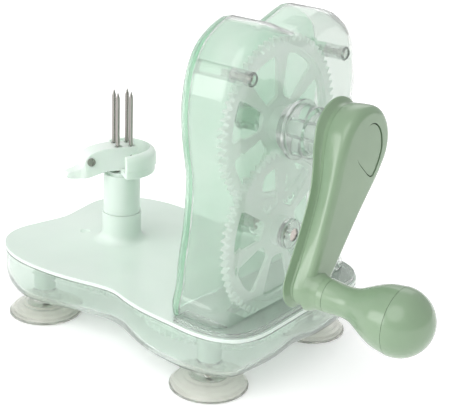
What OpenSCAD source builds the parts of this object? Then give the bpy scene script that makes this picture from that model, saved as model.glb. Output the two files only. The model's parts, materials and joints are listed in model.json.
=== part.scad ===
// Hand-cranked winder on four suction cups: a clear tray base with a pale deck,
// a see-through gear column with a side crank, and a four-prong spindle head
// with a duck-shaped lever. Millimetres, +Z up, +X along the crank shaft towards
// the knob. The origin lies under the middle of the object, on the table.

/* [Base] */
// Height of the deck's top face above the table
deck_top = 32.4; // [31:0.2:34]
// Thickness of the deck plate
deck_t = 2.2; // [1.8:0.1:2.6]
// Height of the tray's underside above the table
tray_bottom = 9.6; // [9:0.1:10.4]
// Wall of the tray
tray_wall = 2; // [1.6:0.1:2.4]
// How far the tray's side curves in towards its bottom
tray_curve = 11; // [10:0.5:12]

/* [Suction cups] */
// Radius of a cup's lip
cup_r = 18; // [15:0.5:19]
// Distance of each cup from the middle line
cup_y = 38; // [37:0.5:40]
// Radius of a deck boss, which holds a cup's screw
boss_r = 5.3; // [4.6:0.1:5.4]

/* [Gear column] */
// Depth of the column along the crank shaft
column_depth = 31; // [31:0.5:34]
// Depth of its rear shell
back_depth = 7.5; // [7:0.5:8]
// Wall of both column shells
column_wall = 1.6; // [1.4:0.1:1.8]
// Rounding of the column's outer edges
column_round = 7; // [5:0.5:7]

/* [Gears] */
// Module of every gear, which is pitch diameter over teeth
gear_module = 1.15; // [1.15]
// Teeth of the two large gears in the column
wheel_teeth = 66; // [66]
// Teeth of the small gear on the lower shaft
pinion_teeth = 19; // [19]
// Face teeth on the crown wheel in the base
face_teeth = 56; // [56]
// Rim teeth on the crown wheel
crown_teeth = 64; // [64]
// Teeth of the gear under the spindle
spindle_teeth = 49; // [49]
// Free play between the flanks of two gears, at the pitch circle
backlash = 0.24; // [0.16:0.02:0.3]

/* [Crank] */
// Distance from the crank shaft to the knob's axis
crank_throw = 62.5; // [58:0.5:66]
// Lean of the arm from straight down, at rest
crank_lean = 28; // [0:1:90]
// Radius of the arm's back lip at the shaft
arm_hub_r = 18.2; // [17.6:0.2:18.4]
// Radius of the arm's back lip at the knob
arm_end_r = 10; // [9.6:0.2:10.2]
// Radius of the knob's ball
knob_r = 14.3; // [13.5:0.1:15]

/* [Spindle head] */
// Height of the seam between the deck's collar and the turning post
post_seam = 47.5; // [46:0.5:49]
// Radius of the turning post
post_r = 9.2; // [9:0.1:9.4]
// Radius of the round head
head_r = 17; // [16:0.5:18]
// Direction of the duck's bill, seen from above
bill_angle = 241; // [0:1:359]
// Radius of a prong
prong_r = 1; // [0.8:0.05:1]
// Distance of each prong from the spindle's axis
prong_circle = 4.7; // [4.5:0.1:5]
// Height of the prongs' points
prong_top = 109.5; // [100:0.5:115]

/* [Hidden] */

sage = [0.60, 0.70, 0.59];
mint = [0.86, 0.93, 0.89];
clear_mint = [0.76, 0.90, 0.82, 0.5];
clear_grey = [0.86, 0.87, 0.84, 0.6];
gear_white = [0.90, 0.97, 0.93, 0.8];
steel = [0.62, 0.62, 0.60];

$fn = 64;
eps = 0.01;
gap = 0.15;                       // free space between faces that pass each other
run_fit = 0.08;                   // radial clearance of a shaft in its bore

// ---- Places along the object ----
post_x = -73.72;                     // spindle axis
column_x = post_x + 74;           // rear face of the column
seam_x = column_x + back_depth;   // seam between the column's shells
cover_x = column_x + column_depth;  // front face of the column
deck_under = deck_top - deck_t;
cup_x = [post_x - 15.4, post_x + 91.5];

// ---- Gear train ----
function pitch_r(teeth) = gear_module * teeth / 2;
wheel_t = 3.2;
crown_x = post_x + pitch_r(crown_teeth) + pitch_r(spindle_teeth);
lower_gear_x = crown_x + pitch_r(face_teeth) - wheel_t / 2;
upper_gear_x = lower_gear_x - wheel_t - 0.4;
crank_z = 114;
lower_z = crank_z - pitch_r(wheel_teeth) - pitch_r(pinion_teeth);
face_z = lower_z - pitch_r(wheel_teeth);   // height where lower gear and face teeth meet
rim_z = [14, 18];                          // lower and upper face of the base gears' rims
shaft_r = 3;

// ---- Crank ----
arm_back_x = cover_x + 19;
arm_front_x = arm_back_x + 16.5;
knob_y = -crank_throw * sin(crank_lean);
knob_z = crank_z - crank_throw * cos(crank_lean);
knob_x = arm_front_x + 6;         // where the knob starts
ball_x = knob_x + 32.5;             // centre of the knob's ball
axle_r = 3;

// ---- Outlines: smooth closed curves through a few points ----
function mirrored(half) = concat(half, [for (i = [len(half) - 2:-1:1]) [half[i][0], -half[i][1]]]);
function blend(a, b, c, d, t) =
  0.5 * (2 * b + (c - a) * t + (2 * a - 5 * b + 4 * c - d) * t * t + (3 * b - a - 3 * c + d) * t * t * t);
function smooth_loop(p, steps) = let (n = len(p))
  [for (i = [0:n - 1], k = [0:steps - 1])
    blend(p[(i + n - 1) % n], p[i], p[(i + 1) % n], p[(i + 2) % n], k / steps)];
function smooth_line(p, steps) = let (n = len(p)) concat(
  [for (i = [0:n - 2], k = [0:steps - 1])
    blend(p[max(i - 1, 0)], p[i], p[i + 1], p[min(i + 2, n - 1)], k / steps)], [p[n - 1]]);
function unit(v) = v / norm(v);
// Points of a counter-clockwise loop moved inwards by d
function inset(loop, d) = let (n = len(loop))
  [for (i = [0:n - 1]) let (t = unit(loop[(i + 1) % n] - loop[(i + n - 1) % n]))
    loop[i] + d * [-t[1], t[0]]];
// Half of the tray's outline from above, from the spindle end to the crank end
tray_half = [[-41.5, 0], [-43.5, 12], [-46, 27], [-42.5, 39], [-31.5, 48.5], [-16, 53], [2, 53],
  [18, 50.6], [31, 47.5], [41, 46.8], [52, 49.8], [64, 51.8], [80, 52.6], [94, 53], [105, 50.5],
  [113, 44.5], [116.6, 34], [116.4, 16], [115.8, 0]];
function placed_loop(half) = smooth_loop(mirrored([for (p = half) [post_x + p[0], -p[1]]]), 3);
tray_loop = placed_loop(tray_half);
// The same for its belly, which the side leans to lower down, before it curves in
belly_half = [[-42.4, 0], [-44.7, 12], [-47.7, 27], [-44.8, 40.5], [-33.5, 52], [-16.5, 57.5], [2, 54.5],
  [18, 49], [31, 47], [41, 48.8], [51.5, 53], [63.5, 56.5], [80, 58.3], [94.5, 57], [106, 52.4],
  [114, 45], [116.5, 34], [117.5, 16], [115.5, 0]];
belly_loop = placed_loop(belly_half);

// Half of the column's outline from the front, height first, from below its foot to the dip in its top
column_half = [[18, 0], [18, 26], [24, 43], [36, 48.6], [46, 46.4], [57, 45.4], [71, 43], [84, 41.8],
  [96, 41.9], [108, 44.2], [121, 46], [134, 45.4], [146, 42], [154.5, 36], [160.5, 26.5], [162, 18.5],
  [158, 7], [155.8, 0]];
column_loop = [for (p = smooth_loop(mirrored(column_half), 3)) [p[1], p[0]]];

// ---- Helpers ----
module along_x(x) translate([x, 0, 0]) rotate([90, 0, 90]) children();
module at_crank() translate([0, 0, crank_z]) children();
module at_lower() translate([0, 0, lower_z]) children();
module rod_x(x0, x1, r) translate([x0, 0, 0]) rotate([0, 90, 0]) cylinder(h = x1 - x0, r = r);

// A closed solid through rings of points
module skin(rings) {
  n = len(rings[0]);
  last = len(rings) - 1;
  polyhedron(
    points = [for (ring = rings, p = ring) p],
    faces = concat([[for (i = [0:n - 1]) i]], [[for (i = [n - 1:-1:0]) last * n + i]],
      [for (k = [0:last - 1], i = [0:n - 1])
        [k * n + (i + 1) % n, k * n + i, (k + 1) * n + i, (k + 1) * n + (i + 1) % n]]));
}
// The same through loops of 2D points, each with its height
module loft(loops, heights) skin(
  [for (k = [0:len(loops) - 1]) [for (p = loops[k]) [p[0], p[1], heights[k]]]]);
// One gear in its own plane, with a tooth on +X
function involute(base, r) = tan(acos(base / r)) * 180 / PI - acos(base / r);
function tooth_side(teeth, r) = let (p = pitch_r(teeth), base = p * cos(20), rr = max(r, base))
  90 / teeth - backlash / 4 / p * 180 / PI + involute(base, p) - involute(base, rr);
module gear_shape(teeth) {
  p = pitch_r(teeth);
  radii = [p - 1.25 * gear_module, p - 0.4 * gear_module, p + 0.3 * gear_module, p + 0.96 * gear_module];
  polygon([for (i = [0:teeth - 1]) let (mid = 360 * i / teeth) each concat(
    [for (r = radii) let (a = mid - tooth_side(teeth, r)) r * [cos(a), sin(a)]],
    [for (k = [3:-1:0]) let (r = radii[k], a = mid + tooth_side(teeth, r)) r * [cos(a), sin(a)]])]);
}
// Round-cornered openings in a gear's web, spread evenly
module web_windows(count, r_in, r_out, open_angle) {
  corner = 1.6;
  for (i = [0:count - 1]) rotate(360 * (i + 0.5) / count) {
    inner_a = open_angle - corner / r_in * 57;
    outer_a = open_angle - corner / r_out * 57;
    polygon(concat(
      [for (k = [0:8]) let (a = -inner_a + inner_a * k / 4) r_in * [cos(a), sin(a)]],
      [(r_in + corner) * [cos(open_angle), sin(open_angle)],
        (r_out - corner) * [cos(open_angle), sin(open_angle)]],
      [for (k = [8:-1:0]) let (a = -outer_a + outer_a * k / 4) r_out * [cos(a), sin(a)]],
      [(r_out - corner) * [cos(open_angle), -sin(open_angle)],
        (r_in + corner) * [cos(open_angle), -sin(open_angle)]]));
  }
}
// A large gear: toothed rim, thin web with windows, and a hub
module wheel(teeth, hub_r, bore_r, hub_out, windows, window_r) {
  rim_in = pitch_r(teeth) - 5;
  web_t = 1.6;
  difference() {
    union() {
      linear_extrude(wheel_t) gear_shape(teeth);
      translate([0, 0, -hub_out[0]]) cylinder(h = wheel_t + hub_out[0] + hub_out[1], r = hub_r);
    }
    translate([0, 0, web_t]) difference() {
      cylinder(h = wheel_t, r = rim_in);
      translate([0, 0, -1]) cylinder(h = wheel_t + 2, r = hub_r);
    }
    translate([0, 0, -1]) linear_extrude(wheel_t + 2)
      web_windows(windows, window_r[0], window_r[1], 130 / windows);
    translate([0, 0, -hub_out[0] - 1]) cylinder(h = wheel_t + hub_out[0] + hub_out[1] + 2, r = bore_r);
  }
}

// ---- Base ----
tray_rings = 6;
module tray_solid(wall, z0, z1, rim) {
  arc = [for (k = [0:tray_rings]) 90 * k / tray_rings];
  rise = rim_under - z0;
  loops = [for (a = arc) inset(belly_loop * cos(a) + tray_loop * (1 - cos(a)),
    wall + (tray_curve - wall / 2) * (1 - sin(a)))];
  heights = [for (a = arc) z0 + rise * (1 - cos(a))];
  loft(concat(loops, rim ? [tray_loop, tray_loop] : [inset(tray_loop, wall)]),
    concat(heights, rim ? [rim_under + 0.3, z1] : [z1]));
}
tray_floor = tray_bottom + tray_wall;
stem_r = 4;
boss_foot = tray_floor + 1.2;       // where a deck boss stands on the tray
gear_seat_r = 8;
rim_out = 0.6;                      // how far the tray's rim stands out from its side
rim_under = deck_under - 2.6;
seam_t = 0.5;                       // shadow seam between the tray's rim and the deck
module at_cups() for (x = cup_x, s = [-1, 1]) translate([x, s * cup_y, 0]) children();
module base_shell() color(clear_mint) difference() {
  union() {
    difference() {
      tray_solid(rim_out, tray_bottom, deck_under, true);
      tray_solid(tray_wall, tray_floor, deck_under + 1, false);
    }
    for (x = [post_x, crown_x]) translate([x, 0, tray_floor - eps])
      cylinder(h = rim_z[0] - gap - tray_floor, r = gear_seat_r);
    at_cups() translate([0, 0, tray_floor - eps]) cylinder(h = boss_foot - tray_floor, r = boss_r);
  }
  at_cups() translate([0, 0, tray_bottom - 1]) cylinder(h = tray_wall + 3, r = stem_r);
  for (x = [post_x, crown_x]) translate([x, 0, tray_bottom - 1]) cylinder(h = 6, r = shaft_r);
}

collar_r = 9.8;
core_r = 6;
gear_slot = [9, 56];
module gear_opening(z0, z1) {
  mid_x = lower_gear_x + wheel_t / 2;
  translate([mid_x - gear_slot[0] / 2, -gear_slot[1] / 2, z0]) cube([gear_slot[0], gear_slot[1], z1 - z0]);
}
dimple_r = 3.2;                    // ball that presses a small dimple in the deck
module deck() color(mint) difference() {
  fillet = 5;
  union() {
    translate([0, 0, deck_under + seam_t]) linear_extrude(deck_t - seam_t) polygon(tray_loop);
    translate([0, 0, deck_under]) linear_extrude(seam_t + eps) polygon(inset(tray_loop, 1));
    translate([post_x, 0, 0]) rotate_extrude() polygon(concat(
      [[core_r - 1, deck_under], [core_r - 1, post_seam], [collar_r, post_seam]],
      [for (k = [0:6]) let (a = 90 * k / 6)
        [collar_r + fillet * (1 - cos(a)), deck_top + fillet * (1 - sin(a))]],
      [[collar_r + fillet, deck_under]]));
    at_cups() translate([0, 0, boss_foot]) cylinder(h = deck_under - boss_foot + 1, r = boss_r);
  }
  translate([post_x, 0, tray_floor]) cylinder(h = post_seam, r = core_r + run_fit);
  at_cups() translate([0, 0, tray_floor - 1]) cylinder(h = 14, r = cup_screw_r);
  gear_opening(tray_floor, deck_top + 1);
  translate([post_x - 19.3, -7, deck_top + dimple_r - 1.2]) sphere(r = dimple_r, $fn = 48);
}

// ---- Suction cups ----
cup_screw_r = 1.4;
module cup(index, side) color(clear_grey) translate([cup_x[index], side * cup_y, 0]) difference() {
  rotate_extrude() polygon(concat(
    [[0, 2.6], [cup_r - 6, 1.6], [cup_r - 1.8, 0], [cup_r - 0.4, 0], [cup_r, 0.4]],
    smooth_line([[cup_r, 0.9], [cup_r - 1.2, 2.4], [cup_r - 4, 4.6], [cup_r - 8, 6.2], [7.6, 7.2], [6.6, 8.4],
      [6.6, tray_bottom]], 3),
    [[stem_r, tray_bottom], [stem_r, boss_foot], [0, boss_foot]]));
  translate([0, 0, 3.6]) cylinder(h = tray_floor, r = cup_screw_r);
}
module cup_front_left() cup(0, -1);
module cup_front_right() cup(1, -1);
module cup_back_left() cup(0, 1);
module cup_back_right() cup(1, 1);
module cup_screws() color(steel) at_cups() {
  translate([0, 0, 3.6]) cylinder(h = 20, r = cup_screw_r);
}

// ---- Gear column ----
module column_solid(wall, x0, x1, back_round, front_round) {
  arc = [for (k = [0:4]) 90 * k / 4];
  loops = concat(
    back_round ? [for (a = arc) inset(column_loop, wall + (column_round - wall) * (1 - sin(a)))]
               : [inset(column_loop, wall)],
    front_round ? [for (k = [4:-1:0]) inset(column_loop, wall + (column_round - wall) * (1 - sin(arc[k])))]
                : [inset(column_loop, wall)]);
  heights = concat(
    back_round ? [for (a = arc) x0 + (column_round - wall) * (1 - cos(a))] : [x0],
    front_round ? [for (k = [4:-1:0]) x1 - (column_round - wall) * (1 - cos(arc[k]))] : [x1]);
  intersection() {
    along_x(0) loft(loops, heights);
    translate([x0 - 1, -60, wall > 0 ? 0 : foot_z]) cube([x1 - x0 + 2, 120, 200]);
  }
}
floor_t = 0.8;                     // green floor plate under the column
foot_z = deck_top + floor_t;
screw_spot = [33, 141.5];        // beside the middle line, and height
screw_boss_r = 3.2;
boss_back_x = post_x + 94;
cover_screw_r = 1.3;
module at_screws() for (s = [-1, 1]) translate([0, s * screw_spot[0], screw_spot[1]]) children();
bush_r = 6;
module column_back() color(clear_mint) difference() {
  union() {
    difference() {
      column_solid(0, column_x, seam_x, true, false);
      column_solid(column_wall, column_x + column_wall, seam_x + 1, true, false);
    }
    at_crank() rod_x(column_x + column_wall - eps, column_x + 11, bush_r);
    at_lower() rod_x(column_x + column_wall - eps, column_x + 11, bush_r);
    at_screws() rod_x(column_x + column_wall - eps, boss_back_x, screw_boss_r);
  }
  at_crank() rod_x(column_x + column_wall, column_x + 12, shaft_r + run_fit);
  at_lower() rod_x(column_x + column_wall, column_x + 12, shaft_r);
  at_screws() rod_x(boss_back_x - 5, boss_back_x + 1, cover_screw_r);
}

collar_seat_r = 11;
lower_boss_r = 7;
skirt_t = 1.4;
skirt_edge = 1;                    // from the deck's edge to the skirt's edge
module skirt_shape(d) intersection() {
  polygon(inset(tray_loop, d));
  translate([seam_x, -60]) square([90, 120]);
}
module column_cover() color([0.85, 0.95, 0.90, 0.35]) difference() {
  union() {
    difference() {
      column_solid(0, seam_x, cover_x, false, true);
      column_solid(column_wall, seam_x - 1, cover_x - column_wall, false, true);
    }
    translate([0, 0, foot_z]) linear_extrude(skirt_t) difference() {
      skirt_shape(skirt_edge);
      translate([seam_x - 1, -42]) square([cover_x - column_wall - seam_x + 1, 84]);
    }
    translate([0, 0, deck_top]) linear_extrude(floor_t + eps) difference() {
      skirt_shape(skirt_edge);
      skirt_shape(skirt_edge + 2);
    }
    at_screws() rod_x(boss_back_x, cover_x - eps, screw_boss_r);
    at_lower() rod_x(cover_x - 3.6, cover_x + 1.2, lower_boss_r);
  }
  at_crank() rod_x(cover_x - 9, cover_x + 1, collar_seat_r);
  at_lower() rod_x(cover_x - 5, cover_x + 2, shaft_r);
  at_screws() {
    rod_x(boss_back_x - 1, cover_x + 1, cover_screw_r);
    rod_x(cover_x - 4, cover_x + 1, 2.3);
  }
}

module column_floor() color([0.62, 0.84, 0.70]) difference() {
  translate([0, 0, deck_top]) linear_extrude(floor_t) {
    skirt_shape(skirt_edge + 2.1);
    translate([column_x + 3, -45]) square([back_depth - 2, 90]);
    translate([column_x, -41]) square([4, 82]);
  }
  gear_opening(deck_top - 1, deck_top + 3);
}
module cover_screws() color(steel) at_screws() {
  rod_x(boss_back_x - 4, cover_x - 4, cover_screw_r);
  rod_x(cover_x - 4, cover_x - 2.6, 2.2);
}

// ---- Crank ----
module crank_collar() color([0.88, 0.95, 0.92, 0.5]) at_crank() difference() {
  union() {
    rod_x(cover_x - 5, cover_x, collar_seat_r);
    rod_x(cover_x, cover_x + 1.8, 13.5);
    rod_x(cover_x + 1.8, cover_x + 9, 11.5);
    rod_x(cover_x + 9, arm_back_x - 1, 9);
  }
  rod_x(cover_x - 9, arm_back_x, shaft_r + run_fit);
}
module crank_shaft() color(steel) at_crank() rod_x(column_x + column_wall + 0.5, arm_front_x - 5, shaft_r);
module upper_gear() color(gear_white) at_crank() along_x(upper_gear_x) rotate(90)
  wheel(wheel_teeth, 8, shaft_r, [1, 3], 7, [12, 31]);

arm_taper = 5;                     // how much thinner the arm is at the knob
module at_arm() at_crank() rotate([-crank_lean, 0, 0]) children();
// Half widths of the back lip and of the front body at distances down from the shaft
lip_half = [[0, arm_hub_r], [8, 15.8], [16, 12], [26, 9.2], [40, 8.7], [52, 9.3], [crank_throw, arm_end_r]];
body_half = [[0, 17.4], [8, 16.6], [16, 14.8], [26, 12.6], [40, 10.2], [52, 8.4], [crank_throw, 7.4]];
function arm_loop(half) = let (side = smooth_line([for (p = half) [p[1], -p[0]]], 3),
  hub = half[0][1], end = half[len(half) - 1][1])
  concat(side_mirror(side),
    [for (k = [1:19]) let (a = 180 + 9 * k) [0, -crank_throw] + end * [cos(a), sin(a)]],
    [for (k = [len(side) - 1:-1:0]) side[k]], [for (k = [1:19]) hub * [cos(9 * k), sin(9 * k)]]);
function side_mirror(side) = [for (p = side) [-p[0], p[1]]];
lip_loop = arm_loop(lip_half);
body_loop = arm_loop(body_half);
// Rings from back to front: distance at the shaft, share of the front body's outline, and step inwards
arm_rings = [[0, 0, 0.5], [0.4, 0, 0], [1, 0, 0], [1.5, 0, 0.6], [2.1, 0.03, 1.9], [3.1, 0.1, 2.7],
  [4.4, 0.22, 2.5], [5.5, 0.34, 1.5], [6.3, 0.42, 1], [9, 0.7, 0.4], [12, 0.95, 0], [13.8, 1, 0],
  [14.8, 1, 0.4], [15.7, 1, 1.3], [16.3, 1, 2.4], [16.5, 1, 3.5]];
function arm_ring(r) = let (t = r[0] / (arm_front_x - arm_back_x))
  [for (p = inset(lip_loop * (1 - r[1]) + body_loop * r[1], r[2]))
    [p[0], p[1], (1 - t) * (arm_back_x - arm_taper * p[1] / crank_throw) + t * arm_front_x]];
// Outline of the cap over the crank screw, seen from the front
cap_loop = smooth_loop([[4.3, -13.8], [8.8, -8.6], [10.8, -1.7], [8.8, 5.6], [4, 9.8], [-1.2, 9.6],
  [-4.8, 6.2], [-7.6, 1.5], [-7.6, -3.6], [-2.6, -9]], 4);
screw_head_r = 5;
module crank_arm() color(sage) difference() {
  union() {
    at_arm() along_x(0) skin([for (r = arm_rings) arm_ring(r)]);
    at_arm() translate([0, 0, -crank_throw]) rod_x(arm_front_x - 4, knob_x - gap, 7.1);
  }
  at_crank() along_x(arm_front_x - 2.6) linear_extrude(4) polygon(cap_loop);
  at_crank() rod_x(arm_front_x - 6, arm_front_x + 1, screw_head_r);
  at_crank() rod_x(arm_back_x - 4, arm_front_x - 5, shaft_r);
  at_arm() translate([0, 0, -crank_throw]) rod_x(arm_back_x - 5, knob_x + 1, axle_r);
}
module crank_screw() color(steel) at_crank() rod_x(arm_front_x - 5, arm_front_x - 2.6, screw_head_r - 0.4);
module arm_cap() color(sage) at_crank() along_x(arm_front_x - 2.6) linear_extrude(2.2)
  polygon(inset(cap_loop, 0.5));
module at_knob() translate([0, knob_y, knob_z]) children();
module knob_axle() color(steel) at_knob() rod_x(arm_front_x - 8, ball_x + 5, axle_r);
module revolved_x(x) translate([x, 0, 0]) rotate([0, 90, 0]) rotate_extrude() children();
knob_curve = [[7.1, 0], [6.7, 5], [6.7, 9], [7.6, 13], [9.6, 17], [11.8, 21.5], [13.4, 26],
  [knob_r, ball_x - knob_x]];
module knob_grip() color(sage) at_knob() difference() {
  revolved_x(knob_x) polygon(concat([[0, 0]], smooth_line(knob_curve, 4), [[0, ball_x - knob_x]]));
  rod_x(knob_x - 1, ball_x + 1, axle_r + run_fit);
}
module knob_cap() color(sage) at_knob() difference() {
  revolved_x(ball_x + gap) intersection() {
    circle(r = knob_r);
    square([knob_r + 1, knob_r + 1]);
  }
  rod_x(ball_x, ball_x + 5 + gap, axle_r + run_fit);
}

// ---- Lower shaft ----
module lower_shaft() color(steel) at_lower() rod_x(column_x + column_wall + 0.5, cover_x + 0.6, shaft_r);
module lower_gear() color(gear_white) at_lower() along_x(lower_gear_x) rotate(90)
  wheel(wheel_teeth, 7, shaft_r + run_fit, [0, 2], 7, [12, 31]);
module lower_pinion() color(gear_white) at_lower() along_x(upper_gear_x) rotate(90 + 180 / pinion_teeth)
  difference() {
    linear_extrude(lower_gear_x - upper_gear_x) gear_shape(pinion_teeth);
    translate([0, 0, -1]) cylinder(h = wheel_t + 3, r = shaft_r + run_fit);
  }

// ---- Base gears ----
ring_r = [pitch_r(face_teeth) - 2.2, pitch_r(face_teeth) + 2.2];
module at_crown() translate([crown_x, 0, 0]) children();
module at_post() translate([post_x, 0, 0]) children();
face_top = face_z + 0.9 * gear_module;
face_root = face_z - 1.35 * gear_module;
module face_tooth() {
  half = PI * gear_module / 4 - 0.18;
  slope = tan(20);
  up = face_top - face_z;
  down = face_z - face_root;
  translate([ring_r[0], 0, 0]) rotate([90, 0, 90]) linear_extrude(ring_r[1] - ring_r[0]) polygon([
    [-half - down * slope, face_root - 0.2], [half + down * slope, face_root - 0.2],
    [half - up * slope, face_top], [-half + up * slope, face_top]]);
}
module crown_gear() color(gear_white) at_crown() difference() {
  union() {
    translate([0, 0, rim_z[0]]) linear_extrude(rim_z[1] - rim_z[0]) gear_shape(crown_teeth);
    translate([0, 0, rim_z[0]]) cylinder(h = face_root - rim_z[0], r = ring_r[1]);
    for (i = [0:face_teeth - 1]) rotate(360 * (i + 0.5) / face_teeth) face_tooth();
  }
  translate([0, 0, rim_z[0] + 2]) difference() {
    cylinder(h = 20, r = ring_r[0]);
    translate([0, 0, -1]) cylinder(h = 8, r = 7);
  }
  translate([0, 0, rim_z[0] - 1]) cylinder(h = 20, r = shaft_r + run_fit);
}
module crown_post() color(steel) at_crown() translate([0, 0, tray_bottom]) cylinder(h = 13, r = shaft_r);
module spindle_gear() color(gear_white) at_post() rotate(180 / spindle_teeth) difference() {
  union() {
    translate([0, 0, rim_z[0]]) linear_extrude(rim_z[1] - rim_z[0]) gear_shape(spindle_teeth);
    translate([0, 0, rim_z[0]]) cylinder(h = 12, r = 10);
  }
  translate([0, 0, rim_z[0] - 1]) cylinder(h = 20, r = core_r);
}

// ---- Spindle head ----
post_top = 69.2;                   // underside of the round head
post_step = 67.8;                  // where the post narrows to its neck
pivot_r = 3;
prong_root_r = 0.5;                // thin tang that holds a prong in the post
prong_step = 82.7;                 // where a prong's tang ends
module spindle_post() color(mint) at_post() difference() {
  union() {
    translate([0, 0, rim_z[0]]) cylinder(h = post_seam + 1 - rim_z[0], r = core_r);
    translate([0, 0, post_seam + gap]) cylinder(h = post_step - post_seam - gap, r = post_r);
    translate([0, 0, post_step - eps]) cylinder(h = post_top - post_step + eps, r = 7.5);
  }
  translate([0, 0, rim_z[0] - 1]) cylinder(h = 24, r = pivot_r + run_fit);
  at_prongs() translate([0, 0, post_top - 10]) cylinder(h = 12, r = prong_root_r);
}
module spindle_pivot() color(steel) at_post() translate([0, 0, tray_bottom]) cylinder(h = 24, r = pivot_r);
module at_prongs() rotate(bill_angle) for (a = [45:90:315]) rotate(a)
  translate([prong_circle, 0, 0]) children();
module prongs() color(steel) at_post() at_prongs() {
  translate([0, 0, post_top - 10]) cylinder(h = prong_step - post_top + 10, r = prong_root_r);
  translate([0, 0, prong_step]) cylinder(h = prong_top - 3 - prong_step, r = prong_r);
  translate([0, 0, prong_top - 3]) cylinder(h = 3, r1 = prong_r, r2 = 0.15, $fn = 32);
}
module at_head() at_post() rotate(bill_angle) children();
eye = [17.2, 76.2];
eye_r = 2;
pin_r = 1;
duck_half_t = 5.4;
lever_gap = 0.3;
head_top = 81.6;
head_step = 73;
pocket_floor = 71.4;
head_cut = 2.6;                    // where the head ends towards the bill
module across(half) translate([0, half, 0]) rotate([90, 0, 0]) linear_extrude(2 * half) children();
module prong_head() color(mint) at_head() difference() {
  union() {
    difference() {
      rotate_extrude() polygon(concat(
        [[0, post_top], [head_r - 1.2, post_top], [head_r - 0.7, post_top + 0.5],
        [head_r - 0.7, head_step], [head_r, head_step + 0.4]],
        [for (k = [0:5]) let (a = 90 * k / 5) [head_r - 4.5 * (1 - cos(a)), head_top - 4.5 * (1 - sin(a))]],
        [[0, head_top]]));
      translate([0, 0, pocket_floor]) cylinder(h = 20, r = head_r - 3.4);
      translate([head_cut, -30, post_top - 1]) cube([40, 60, 30]);
      translate([-7.5, -duck_half_t - lever_gap, post_top + 0.4])
        cube([20, 2 * (duck_half_t + lever_gap), 30]);
    }
    across(2.1) {
      polygon([[-9, post_top], [6, post_top], [eye[0] - 0.4, eye[1] - 1.8], [eye[0] - 0.8, eye[1] + 1.7],
        [6, 75.6], [-9, 75.6]]);
      translate(eye) circle(r = 1.9);
    }
  }
  across(30) polygon([[-10, head_top], [4, head_top - 1.4], [4, head_top + 4], [-10, head_top + 4]]);
  rotate(-bill_angle) at_prongs() translate([0, 0, post_top - 1]) cylinder(h = 14, r = prong_root_r);
  across(20) translate(eye) circle(r = pin_r);
}
module eye_pin() color(steel) at_head() {
  across(duck_half_t) translate(eye) circle(r = pin_r);
  for (s = [-1, 1]) translate([0, s * (duck_half_t + 0.4), 0]) difference() {
    across(0.4) translate(eye) circle(r = eye_r);
    translate([0, s * 0.5, 0]) across(0.4) translate(eye) circle(r = 1);
  }
}
duck_outline = smooth_line([[-5.8, 82.2], [-6.2, 79.6], [-2.2, 77.6], [-2, 70.4], [3.6, 70.6],
  [8.7, 70.6], [12.7, 69.7], [17.8, 68.2], [23, 67.6], [27.8, 67.9], [28.7, 69.4], [27.2, 70.9],
  [23.7, 71.7], [21.4, 73.2], [20.4, 75.5], [19.4, 78], [16.8, 80.2], [12, 81.7], [6, 82.4]], 3);
bill_side = [[20, 12], [20, 5.4], [22, 4.2], [25, 3.4], [28, 3], [31, 2.9], [31, 12]];
module duck_lever() color(mint) at_head() difference() {
  across(duck_half_t) polygon(duck_outline);
  across(4.5) polygon([[-10, 60], [-10, 80.2], [8, 80.2], [8, 60]]);
  across(2.5) {
    polygon([[7, 60], [7, 79], [eye[0] + 0.4, eye[1] + 2.2], [eye[0] + 1.9, eye[1] - 1], [eye[0] + 2, 60]]);
    translate(eye) circle(r = 2.2);
  }
  for (s = [0, 1]) mirror([0, s, 0]) translate([0, 0, 60]) linear_extrude(30) polygon(bill_side);
  across(20) translate(eye) circle(r = pin_r + run_fit);
  for (u = [-1, 1] * prong_circle / sqrt(2), w = [-1, 1] * prong_circle / sqrt(2))
    translate([u - 2.3, w - 1.4, 78]) cube([3.7, 2.8, 10]);
}

// ---- Drawing ----
base_shell();
deck();
column_back();
column_cover();
column_floor();
cover_screws();
crank_collar();
crank_shaft();
upper_gear();
crank_arm();
crank_screw();
arm_cap();
knob_axle();
knob_grip();
knob_cap();
lower_shaft();
lower_gear();
lower_pinion();
crown_gear();
crown_post();
spindle_gear();
spindle_post();
spindle_pivot();
prong_head();
prongs();
duck_lever();
eye_pin();
cup_front_left();
cup_front_right();
cup_back_left();
cup_back_right();
cup_screws();
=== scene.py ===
"""Looks, lights and camera for the hand-cranked spindle stand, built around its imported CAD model."""
import json
import math

import bmesh
import bpy
from mathutils import Matrix, Vector


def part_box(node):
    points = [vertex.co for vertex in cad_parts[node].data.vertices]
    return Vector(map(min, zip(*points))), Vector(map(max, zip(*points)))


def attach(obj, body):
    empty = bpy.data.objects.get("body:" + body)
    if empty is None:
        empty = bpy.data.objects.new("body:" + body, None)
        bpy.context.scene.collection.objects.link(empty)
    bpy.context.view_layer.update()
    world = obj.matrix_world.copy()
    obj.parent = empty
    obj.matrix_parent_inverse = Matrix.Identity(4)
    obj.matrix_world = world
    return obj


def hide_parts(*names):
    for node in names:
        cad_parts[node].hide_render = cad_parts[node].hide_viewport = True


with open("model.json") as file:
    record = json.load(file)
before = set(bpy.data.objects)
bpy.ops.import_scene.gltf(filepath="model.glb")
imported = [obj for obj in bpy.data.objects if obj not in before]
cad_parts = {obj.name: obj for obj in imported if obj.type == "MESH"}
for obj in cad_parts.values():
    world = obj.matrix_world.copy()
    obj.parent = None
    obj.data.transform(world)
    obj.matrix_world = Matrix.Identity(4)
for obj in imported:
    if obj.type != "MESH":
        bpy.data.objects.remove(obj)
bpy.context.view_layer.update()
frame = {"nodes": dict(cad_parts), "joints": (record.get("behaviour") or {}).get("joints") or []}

MM = 0.001
nodes = frame["nodes"]
scene = bpy.context.scene
joints = {j["name"]: j for j in frame["joints"]}
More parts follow.
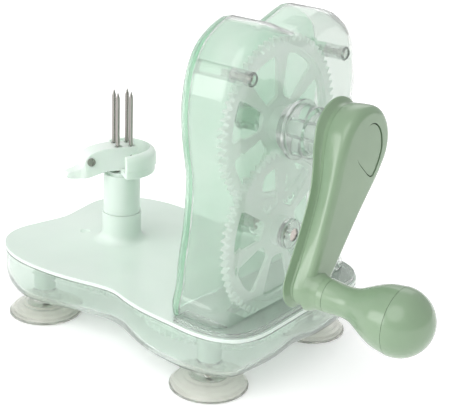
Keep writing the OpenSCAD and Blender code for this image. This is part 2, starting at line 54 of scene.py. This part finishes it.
post = Vector(joints["spindle_turn"]["pos_m"])      # a point on the spindle's axis
knob = Vector(joints["knob_spin"]["pos_m"])         # a point on the knob's axis
arm_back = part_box("crank_arm")[0].x
arm_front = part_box("arm_cap")[1].x + 0.4 * MM       # the cap sits this far below the arm's flat front
tray_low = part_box("base_shell")[0].z
tray_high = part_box("base_shell")[1].z
tray_floor_t = 2 * MM
near = 0.1 * MM                                     # how far a corner may lie from a flat that is made anew


# ---- Material parts ----
def tree_of(name):
    mat = bpy.data.materials.new(name)
    mat.use_nodes = True
    tree = mat.node_tree
    return mat, tree, tree.nodes["Principled BSDF"]


def noise_on(tree, vector, scale, detail):
    noise = tree.nodes.new("ShaderNodeTexNoise")
    noise.inputs["Scale"].default_value = scale
    noise.inputs["Detail"].default_value = detail
    tree.links.new(vector, noise.inputs["Vector"])
    return noise.outputs["Fac"]


def ramp_on(tree, value, low, high, start, end):
    """Colours from low to high, as the value goes from start to end."""
    ramp = tree.nodes.new("ShaderNodeValToRGB")
    for stop, position, colour in zip(ramp.color_ramp.elements, (start, end), (low, high)):
        stop.position = position
        stop.color = (*colour, 1)
    tree.links.new(value, ramp.inputs["Fac"])
    return ramp.outputs["Color"]


def wander(tree, value, span, target):
    """Let a socket wander between two numbers with a noise value."""
    level = tree.nodes.new("ShaderNodeMapRange")
    level.inputs["To Min"].default_value, level.inputs["To Max"].default_value = span
    tree.links.new(value, level.inputs["Value"])
    tree.links.new(level.outputs["Result"], target)


def add_mottle(tree, low, high, scale, target):
    """Slow colour variation over the surface, from one colour to another."""
    coord = tree.nodes.new("ShaderNodeTexCoord").outputs["Object"]
    patches = noise_on(tree, coord, scale, 3)
    tree.links.new(ramp_on(tree, patches, low, high, 0.35, 0.65), target)
    return coord


def add_grain(tree, coord, bsdf, scale, strength, rough):
    """Fine moulded grain: a little bump, and roughness that wanders between two values."""
    grain = noise_on(tree, coord, scale, 4)
    bump = tree.nodes.new("ShaderNodeBump")
    bump.inputs["Strength"].default_value = strength
    bump.inputs["Distance"].default_value = 0.2 * MM
    tree.links.new(grain, bump.inputs["Height"])
    tree.links.new(bump.outputs["Normal"], bsdf.inputs["Normal"])
    wander(tree, grain, rough, bsdf.inputs["Roughness"])


def paint_crease_shade(mat, reach, least):
    """Paint shade into seams, grooves and roots: ambient occlusion darkens the colour there, down to the
    least share of the colour.
    """
    tree = mat.node_tree
    colour = tree.nodes["Principled BSDF"].inputs["Base Color"]
    open_colour = colour.links[0].from_socket
    hollow = tree.nodes.new("ShaderNodeAmbientOcclusion")
    hollow.inputs["Distance"].default_value = reach
    level = tree.nodes.new("ShaderNodeMapRange")
    level.inputs["From Min"].default_value = 0.25
    level.inputs["From Max"].default_value = 0.8
    level.inputs["To Min"].default_value = least
    shaded = tree.nodes.new("ShaderNodeVectorMath")
    shaded.operation = "SCALE"
    tree.links.new(hollow.outputs["AO"], level.inputs["Value"])
    tree.links.new(open_colour, shaded.inputs[0])
    tree.links.new(level.outputs["Result"], shaded.inputs["Scale"])
    tree.links.new(shaded.outputs["Vector"], colour)


def add_glow(mat, colour, strength):
    """Give a material a little light of its own."""
    bsdf = mat.node_tree.nodes["Principled BSDF"]
    bsdf.inputs["Emission Color"].default_value = (*colour, 1)
    bsdf.inputs["Emission Strength"].default_value = strength


# ---- Materials ----
def plastic(name, low, high, rough, coat=0.25, soft=0.25):
    mat, tree, bsdf = tree_of(name)
    coord = add_mottle(tree, low, high, 26, bsdf.inputs["Base Color"])
    add_grain(tree, coord, bsdf, 900, 0.06, rough)
    bsdf.inputs["Coat Weight"].default_value = coat
    bsdf.inputs["Coat Roughness"].default_value = 0.08
    bsdf.inputs["Subsurface Weight"].default_value = soft
    bsdf.inputs["Subsurface Radius"].default_value = (0.9, 1.0, 0.85)
    bsdf.inputs["Subsurface Scale"].default_value = 2 * MM
    return mat


def clear_plastic(name, low, high, rough, through, ior, coat=0.5, scale=18.0):
    """See-through moulded plastic with some milk in it, so part of the light scatters at each wall."""
    mat, tree, bsdf = tree_of(name)
    coord = add_mottle(tree, low, high, scale, bsdf.inputs["Base Color"])
    add_grain(tree, coord, bsdf, 160, 0.04, rough)
    bsdf.inputs["Transmission Weight"].default_value = through
    bsdf.inputs["IOR"].default_value = ior
    bsdf.inputs["Coat Weight"].default_value = coat
    bsdf.inputs["Coat Roughness"].default_value = 0.03
    return mat


def metal(name, low, high, rough, along=(1, 1, 1)):
    """Satin metal, whose brush marks are as long as the scale along each axis is small."""
    mat, tree, bsdf = tree_of(name)
    coord = tree.nodes.new("ShaderNodeTexCoord")
    stretch = tree.nodes.new("ShaderNodeMapping")
    stretch.inputs["Scale"].default_value = along
    tree.links.new(coord.outputs["Object"], stretch.inputs["Vector"])
    marks = noise_on(tree, stretch.outputs["Vector"], 700, 5)
    tree.links.new(ramp_on(tree, marks, low, high, 0, 1), bsdf.inputs["Base Color"])
    wander(tree, marks, rough, bsdf.inputs["Roughness"])
    bsdf.inputs["Metallic"].default_value = 1
    return mat


sage = plastic("sage_plastic", (0.235, 0.345, 0.22), (0.27, 0.385, 0.25), (0.18, 0.26), coat=0.4, soft=0.05)
# painted shade: the sage parts darken by ambient occlusion in their seams, grooves and at the knob's root
paint_crease_shade(sage, 2 * MM, 0.7)
# painted light: the prong head and duck lever get a lighter copy of the pale mint plastic, to make up for
# the shade on them
pale_painted_lighter = plastic("pale_plastic_painted_lighter", (0.79, 0.90, 0.82), (0.83, 0.92, 0.855), (0.3, 0.42))
pale = plastic("pale_mint_plastic", (0.72, 0.83, 0.755), (0.76, 0.86, 0.79), (0.3, 0.42))
floor_green = clear_plastic("green_plate_plastic", (0.72, 0.92, 0.78), (0.82, 0.97, 0.87),
                            (0.15, 0.25), 0.2, 1.3)
gear_white = clear_plastic("milky_gear_plastic_painted_glow", (0.84, 0.97, 0.88), (0.97, 1.0, 0.98),
                           (0.3, 0.45), 0.3, 1.3, scale=70)
add_glow(gear_white, (0.86, 1.0, 0.91), 0.1)     # painted light: the gears glow a little, to make up for the light the walls round them hold back
shell_mint = clear_plastic("clear_mint_plastic", (0.53, 0.79, 0.62), (0.67, 0.865, 0.73),
                           (0.05, 0.1), 0.8, 1.24, scale=36)
shell_clear = clear_plastic("clear_plastic", (0.87, 0.92, 0.88), (0.91, 0.94, 0.92),
                            (0.02, 0.05), 0.84, 1.3)
tray_clear = clear_plastic("clear_tray_plastic", (0.86, 0.94, 0.885), (0.91, 0.97, 0.93),
                           (0.04, 0.1), 0.86, 1.3, coat=0.2)
collar_clear = clear_plastic("frosted_collar_plastic", (0.90, 0.96, 0.92), (0.95, 0.98, 0.96),
                             (0.06, 0.14), 0.8, 1.3)
cup_soft = clear_plastic("soft_clear_cups", (0.87, 0.89, 0.82), (0.93, 0.94, 0.89),
                         (0.08, 0.16), 0.86, 1.32)
steel = metal("satin_steel", (0.30, 0.28, 0.26), (0.46, 0.44, 0.42), (0.22, 0.34), (1, 1, 0.03))
screw_steel = metal("screw_steel", (0.42, 0.38, 0.34), (0.62, 0.58, 0.54), (0.2, 0.35))

LOOKS = {
    "base_shell": tray_clear, "deck": pale,
    "column_back": shell_mint, "column_cover": shell_clear, "column_floor": floor_green,
    "cover_screws": screw_steel, "crank_collar": collar_clear, "crank_shaft": gear_white,
    "upper_gear": gear_white, "crank_arm": sage, "crank_screw": screw_steel, "arm_cap": sage,
    "knob_axle": screw_steel, "knob_grip": sage, "knob_cap": sage,
    "lower_shaft": screw_steel, "lower_gear": gear_white, "lower_pinion": gear_white,
    "crown_gear": gear_white, "crown_post": screw_steel, "spindle_gear": gear_white,
    "spindle_post": pale, "spindle_pivot": screw_steel, "prong_head": pale_painted_lighter, "prongs": steel,
    "duck_lever": pale_painted_lighter, "eye_pin": steel,
    "cup_front_left": cup_soft, "cup_front_right": cup_soft,
    "cup_back_left": cup_soft, "cup_back_right": cup_soft, "cup_screws": screw_steel,
}
EDGES = {  # rounding of the nodes' edges
    "base_shell": 0.4 * MM, "deck": 0.6 * MM, "column_floor": 0.2 * MM, "crank_collar": 0.4 * MM,
    "prong_head": 0.5 * MM, "duck_lever": 0.9 * MM, "spindle_post": 0.3 * MM,
}
HAIRLINE = (shell_mint, shell_clear, tray_clear, cup_soft, collar_clear, gear_white)


def add_crisp(obj, least_turn):
    """Smooth shading that breaks where the surface turns by more than the given degrees."""
    for poly in obj.data.polygons:
        poly.use_smooth = True
    crisp = obj.modifiers.new("crisp", "EDGE_SPLIT")
    crisp.split_angle = math.radians(least_turn)


def finish_cad(name, obj):
    """The node's material, small roundings and crisp edges, on the node or on the piece in its place."""
    obj.data.materials.clear()
    obj.data.materials.append(LOOKS[name])
    weld = obj.modifiers.new("weld", "WELD")
    weld.merge_threshold = 0.002 * MM
    if name in EDGES:
        bevel = obj.modifiers.new("edges", "BEVEL")
        bevel.width = EDGES[name]
        bevel.segments = 3
        bevel.limit_method = "ANGLE"
        bevel.angle_limit = math.radians(38)
        bevel.use_clamp_overlap = True
    if LOOKS[name] in HAIRLINE:     # a hair of air, so that touching walls refract cleanly
        shrink = obj.modifiers.new("hairline", "DISPLACE")
        shrink.strength = -0.06 * MM
        shrink.mid_level = 0
    add_crisp(obj, 42)
    smooth = obj.modifiers.new("normals", "WEIGHTED_NORMAL")
    smooth.keep_sharp = True


for name in LOOKS:
    finish_cad(name, nodes[name])


# ---- Pieces of their own ----
def piece_from(bm, name, body):
    mesh = bpy.data.meshes.new(name)
    bmesh.ops.recalc_face_normals(bm, faces=bm.faces)
    bm.to_mesh(mesh)
    bm.free()
    piece = bpy.data.objects.new(name, mesh)
    scene.collection.objects.link(piece)
    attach(piece, body)
    return piece


def lathed(profile, place, steps, closed):
    """Turn a profile of radii and distances along the axis, in millimetres. place() puts each point."""
    bm = bmesh.new()
    rings = []
    for k in range(steps):
        turn = 2 * math.pi * k / steps
        rings.append([bm.verts.new(place(r * math.cos(turn) * MM, r * math.sin(turn) * MM, along * MM))
                      for r, along in profile])
    spans = [(i, (i + 1) % len(profile)) for i in range(len(profile) if closed else len(profile) - 1)]
    for here, there in zip(rings, rings[1:] + rings[:1]):
        for i, j in spans:
            bm.faces.new((here[i], there[i], there[j], here[j]))
    bmesh.ops.remove_doubles(bm, verts=bm.verts, dist=0.03 * MM)
    return bm


# ---- Suction cups: thin soft bells with moulded rings ----
CUP_PROFILE = [  # from under the middle, round the lip, up to the stem and down its bore
    (0.01, 2.6), (6, 2.3), (12, 1.5), (16.2, 0.02), (17.6, 0.02), (18, 0.35), (17.9, 0.9), (17.2, 1.5),
    (16.4, 2.0), (16.0, 2.6), (15.4, 2.9), (14.8, 2.8), (14.2, 3.5), (12.6, 4.4), (12.0, 4.4), (11.5, 5.0),
    (10.2, 5.5), (9.7, 5.4), (9.2, 6.0), (8.2, 6.4), (7.3, 7.2), (6.9, 8.2), (6.6, 8.8), (6.5, 9.55),
    (4.0, 9.56), (3.9, 12.7), (1.5, 12.75), (1.45, 3.6), (0.01, 3.6)]


def cup_piece(node):
    low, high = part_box(node)
    middle = (low + high) / 2
    bm = lathed(CUP_PROFILE, lambda x, y, z: (middle.x + x, middle.y + y, z), 72, closed=False)
    piece = piece_from(bm, node + "_bell", "stand")
    piece.data.materials.append(cup_soft)
    add_crisp(piece, 65)
    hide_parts(node)


for end in ("front", "back"):
    for hand in ("left", "right"):
        cup_piece("cup_" + end + "_" + hand)


# ---- Crank arm and tray: their own meshes, with the flats filled again inside the curved outlines ----
def refilled(name, node, axis, flats, body):
    """Replace a node by its own mesh, with its flats between each low and high along the axis made anew."""
    bm = bmesh.new()
    bm.from_mesh(nodes[node].data)
    bmesh.ops.remove_doubles(bm, verts=bm.verts, dist=0.002 * MM)
    bm.normal_update()
    for low, high in flats:
        flat = [f for f in bm.faces
                if abs(f.normal[axis]) > 0.985 and all(low < v.co[axis] < high for v in f.verts)]
        corners = {v for f in flat for v in f.verts}
        bmesh.ops.delete(bm, geom=flat, context="FACES")
        rim = [e for e in bm.edges if len(e.link_faces) == 1 and all(v in corners for v in e.verts)]
        bmesh.ops.triangle_fill(bm, use_beauty=True, use_dissolve=False, edges=rim)
    piece = piece_from(bm, name, body)
    finish_cad(node, piece)
    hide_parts(node)


arm_flats = [(arm_back - 1 * MM, arm_back + 8 * MM),    # the back leans by a few millimetres
             (arm_front - near, arm_front + near)]
tray_flats = [(z - near, z + near) for z in (tray_low, tray_low + tray_floor_t, tray_high)]
refilled("arm_shell", "crank_arm", 0, arm_flats, "crank")
refilled("tray_shell", "base_shell", 2, tray_flats, "stand")

# ---- Soft root where the knob's neck grows out of the arm ----
NECK_PROFILE = [(4.0, -2.5), (9.1, -2.5), (8.7, -1.2), (8.1, -0.2), (7.6, 0.9), (7.3, 2.0), (7.15, 3.2),
                (4.0, 3.3)]


def neck_root():
    bm = lathed(NECK_PROFILE, lambda y, z, x: (arm_front + x, knob.y + y, knob.z + z), 64, closed=True)
    piece = piece_from(bm, "neck_root", "crank")
    piece.data.materials.append(sage)
    add_crisp(piece, 50)


neck_root()

# ---- Floor ----
bpy.ops.mesh.primitive_plane_add(size=6, location=(0, 0, -0.2 * MM))
floor = bpy.context.object
floor.name = "floor"
white, tree, bsdf = tree_of("pale_floor")
add_mottle(tree, (0.93, 0.93, 0.93), (0.95, 0.95, 0.95), 4, bsdf.inputs["Base Color"])
bsdf.inputs["Roughness"].default_value = 0.9
add_glow(white, (1, 1, 1), 0.32)
floor.data.materials.append(white)

# ---- Studio: a bright side, two round soft lamps, and one behind ----
world = bpy.data.worlds.new("studio")
scene.world = world
world.use_nodes = True
sky = world.node_tree
sky_vector = sky.nodes.new("ShaderNodeTexCoord").outputs["Generated"]


def sky_light(direction, span, levels, shape="LINEAR"):
    """Light from one level to another, as the cosine of the angle from a direction goes over its span."""
    toward = sky.nodes.new("ShaderNodeVectorMath")
    toward.operation = "DOT_PRODUCT"
    toward.inputs[1].default_value = direction
    level = sky.nodes.new("ShaderNodeMapRange")
    level.interpolation_type = shape
    level.inputs["From Min"].default_value, level.inputs["From Max"].default_value = span
    level.inputs["To Min"].default_value, level.inputs["To Max"].default_value = levels
    sky.links.new(sky_vector, toward.inputs[0])
    sky.links.new(toward.outputs["Value"], level.inputs["Value"])
    return level.outputs["Result"]


def summed(one, other):
    total = sky.nodes.new("ShaderNodeMath")
    sky.links.new(one, total.inputs[0])
    sky.links.new(other, total.inputs[1])
    return total.outputs["Value"]


bright_side = sky_light((-0.5, -0.35, 0.79), (-0.6, 0.9), (0.5, 0.76))
high_lamp = sky_light((0.05, -0.66, 0.75), (0.86, 0.93), (0, 1.5), "SMOOTHSTEP")
low_lamp = sky_light((-0.6, -0.78, 0.17), (0.93, 0.975), (0, 3), "SMOOTHSTEP")
background = sky.nodes["Background"].inputs
background["Color"].default_value = (1, 1, 1, 1)
sky.links.new(summed(bright_side, summed(high_lamp, low_lamp)), background["Strength"])

lamp_at = Vector((-0.35, 0.75, 0.7))
lamp_aim = Vector((0, 0, 0.08))     # half way up the column
lamp_data = bpy.data.lights.new("back", "AREA")
lamp_data.shape = "RECTANGLE"
lamp_data.size = 0.8
lamp_data.size_y = 0.5
lamp_data.energy = 1
lamp = bpy.data.objects.new("back", lamp_data)
scene.collection.objects.link(lamp)
lamp.location = lamp_at
lamp.rotation_euler = (lamp_aim - lamp_at).to_track_quat("-Z", "Y").to_euler()

# ---- Camera ----
CAMERA_FROM_POST = Vector((0.37407, -0.38557, 0.25879))     # from the foot of the spindle's axis
azimuth = math.radians(38.62)
elevation = math.radians(21.28)
roll = math.radians(2.41)
back = Vector((math.sin(azimuth) * math.cos(elevation), -math.cos(azimuth) * math.cos(elevation),
               math.sin(elevation)))
right = Vector((math.cos(azimuth), math.sin(azimuth), 0))
up = back.cross(right)
turned_right = math.cos(roll) * right + math.sin(roll) * up
turned_up = -math.sin(roll) * right + math.cos(roll) * up
lens = bpy.data.cameras.new("camera")
lens.sensor_width = 36
lens.lens = 91.6
lens.clip_start = 0.05
camera = bpy.data.objects.new("camera", lens)
scene.collection.objects.link(camera)
camera.matrix_world = Matrix((turned_right, turned_up, back)).transposed().to_4x4()
camera.location = Vector((post.x, 0, 0)) + CAMERA_FROM_POST
scene.camera = camera

scene.view_settings.view_transform = "Standard"
scene.cycles.max_bounces = 16
scene.cycles.transmission_bounces = 14
